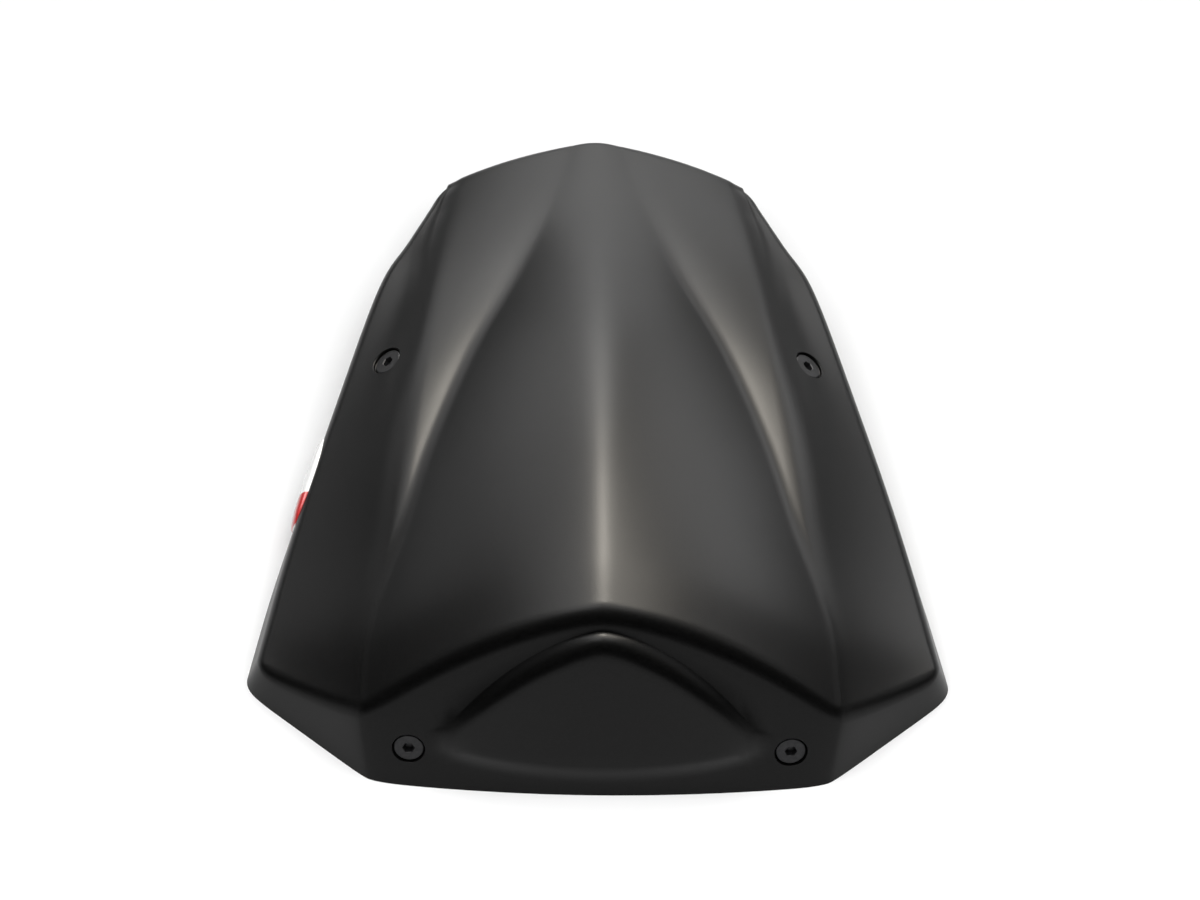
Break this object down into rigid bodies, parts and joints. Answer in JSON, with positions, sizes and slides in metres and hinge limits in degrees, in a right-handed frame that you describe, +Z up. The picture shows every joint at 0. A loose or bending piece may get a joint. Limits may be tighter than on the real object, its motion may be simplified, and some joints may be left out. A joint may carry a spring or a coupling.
{
  "type": "seat cowl",
  "caption": "Faceted black moulded seat cowl for a motorbike's passenger place, on a bent steel mounting plate with a latch striker, a tongue and rubber buffers.",
  "frame": {"origin": "on the rim plane, under the middle of the object's length and width", "axes": "+X across the cowl, +Y from the tall front face to the low tail, +Z up from the rim plane"},
  "size_m": [0.2774, 0.3135, 0.0847],
  "materials": {
    "shell_plastic": "satin",
    "screw_black": "black oxide",
    "rubber": "matte",
    "zinc_steel": "zinc plated",
    "plate_steel": "black powder coat"
  },
  "bodies": {
    "root": {"cowl_shell": "shell_plastic", "mounting_plate": "plate_steel", "tongue": "plate_steel", "front_bracket_right": "plate_steel", "front_bracket_left": "plate_steel", "side_bracket_right": "plate_steel", "side_bracket_left": "plate_steel", "front_screw_right": "screw_black", "front_screw_left": "screw_black", "side_screw_right": "screw_black", "side_screw_left": "screw_black", "front_washer_right": "rubber", "front_washer_left": "rubber", "side_washer_right": "rubber", "side_washer_left": "rubber", "front_nut_right": "zinc_steel", "front_nut_left": "zinc_steel", "side_nut_right": "zinc_steel", "side_nut_left": "zinc_steel", "striker_plate": "zinc_steel", "striker_loop": "zinc_steel", "striker_bolt_right": "zinc_steel", "striker_bolt_left": "zinc_steel", "striker_nut_right": "zinc_steel", "striker_nut_left": "zinc_steel", "buffer_front_right": "rubber", "buffer_front_left": "rubber", "buffer_rear_right": "rubber", "buffer_rear_left": "rubber"}
  },
  "joints": []
}
